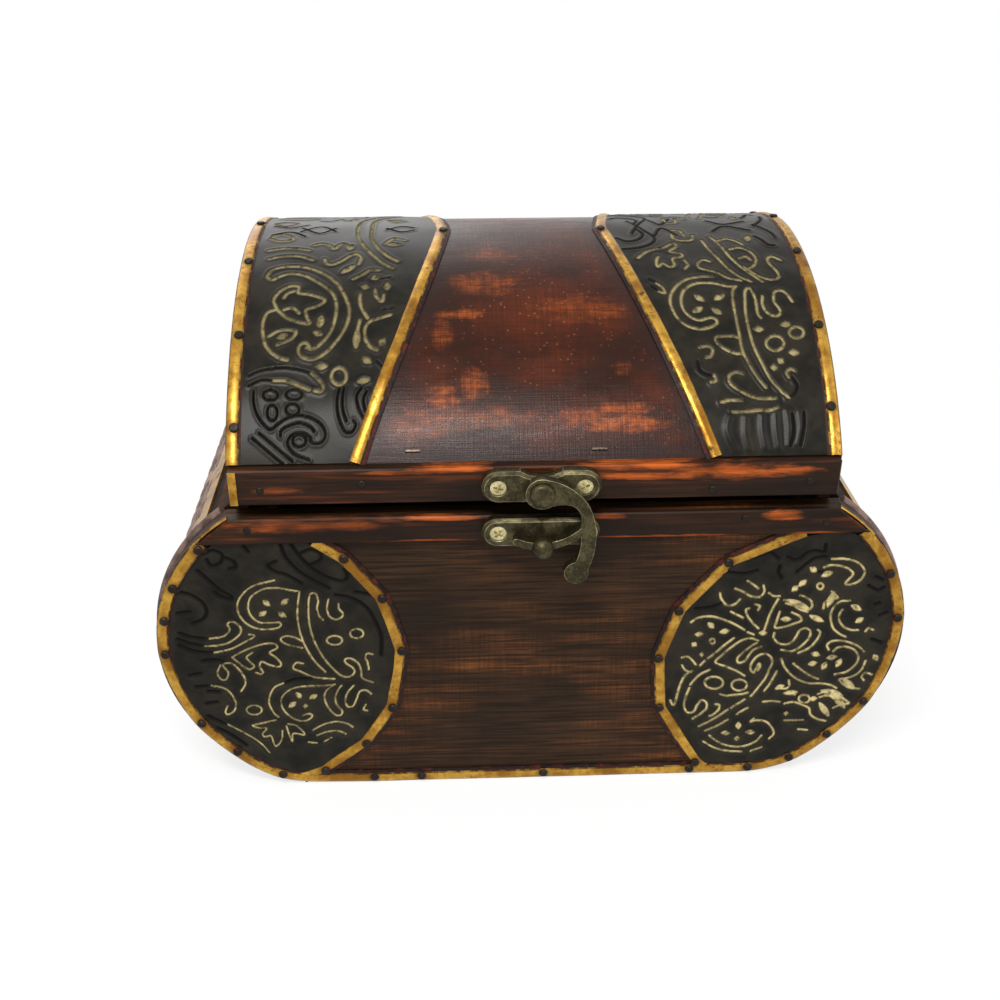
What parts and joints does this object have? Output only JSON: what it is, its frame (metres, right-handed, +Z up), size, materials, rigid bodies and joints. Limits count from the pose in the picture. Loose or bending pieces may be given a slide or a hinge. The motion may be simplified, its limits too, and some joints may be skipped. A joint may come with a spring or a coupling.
{
  "type": "trinket box",
  "caption": "Keepsake box with a bulging wooden body, woven ends, a barrel lid on hinges, embossed leather patches, brass edging and a swing hook latch.",
  "frame": {"origin": "middle of the flat base, on the surface that the box stands on", "axes": "+X to the viewer's right, +Y from the latch to the hinges, +Z up"},
  "size_m": [0.19, 0.1588, 0.1305],
  "materials": {
    "board_wood": "stained, satin, fine level grain",
    "rail_wood": "stained, satin, burnt orange streaks",
    "lid_wood": "reddish mahogany stain, satin, orange mottling",
    "leather": "embossed, rubbed beige on the high lines",
    "brass_trim": "aged, with dark patina spots",
    "nails": "dark olive patina",
    "wicker": "flat woven strips, grey brown",
    "cane": "round cane, grey brown",
    "liner": "matt dark cloth",
    "latch_bronze": "antique bronze, bright at the edges",
    "screw_brass": "pale brass",
    "hinge_brass": "antique bronze"
  },
  "bodies": {
    "box": {"back_board": "board_wood", "back_leather_left": "leather", "back_leather_right": "leather", "back_outline_trim": "brass_trim", "back_patch_trim_left": "brass_trim", "back_patch_trim_right": "brass_trim", "back_rail": "rail_wood", "back_rail_brads": "nails", "back_trim_nails": "nails", "bottom_board": "board_wood", "cane_roll_back_left": "cane", "cane_roll_back_right": "cane", "cane_roll_front_left": "cane", "cane_roll_front_right": "cane", "end_liner_left": "liner", "end_liner_right": "liner", "front_board": "board_wood", "front_leather_left": "leather", "front_leather_right": "leather", "front_outline_trim": "brass_trim", "front_patch_trim_left": "brass_trim", "front_patch_trim_right": "brass_trim", "front_rail": "rail_wood", "front_rail_brads": "nails", "front_trim_nails": "nails", "hinge_leaf_lower_left": "hinge_brass", "hinge_leaf_lower_right": "hinge_brass", "hinge_pin_left": "hinge_brass", "hinge_pin_right": "hinge_brass", "hinge_screws_lower": "hinge_brass", "keeper_knob": "latch_bronze", "keeper_plate": "latch_bronze", "keeper_screws": "screw_brass", "side_rail_left": "rail_wood", "side_rail_right": "rail_wood", "side_strip_left": "brass_trim", "side_strip_right": "brass_trim", "woven_end_left": "wicker", "woven_end_right": "wicker"},
    "lid": {"lid_back_rail": "rail_wood", "lid_dome": "lid_wood", "lid_end_left": "lid_wood", "lid_end_right": "lid_wood", "lid_end_trim_left": "brass_trim", "lid_end_trim_right": "brass_trim", "lid_front_rail": "rail_wood", "lid_leather_left": "leather", "lid_leather_right": "leather", "lid_rail_brads": "nails", "lid_trim_nails": "nails", "lid_waist_trim_left": "brass_trim", "lid_waist_trim_right": "brass_trim", "latch_plate": "latch_bronze", "latch_rivet": "latch_bronze", "latch_screws": "screw_brass", "hinge_leaf_upper_left": "hinge_brass", "hinge_leaf_upper_right": "hinge_brass", "hinge_screws_upper": "hinge_brass"},
    "hook": {"swing_hook": "latch_bronze"}
  },
  "joints": [
    {"name": "lid_hinge", "type": "hinge", "parent": "box", "child": "lid", "pos_m": [0, 0.0732, 0.0833], "axis": [-1, 0, 0], "range_deg": [0, 110]},
    {"name": "hook_swing", "type": "hinge", "parent": "lid", "child": "hook", "pos_m": [0.0009, -0.07592, 0.0897], "axis": [0, -1, 0], "range_deg": [0, 130]}
  ]
}
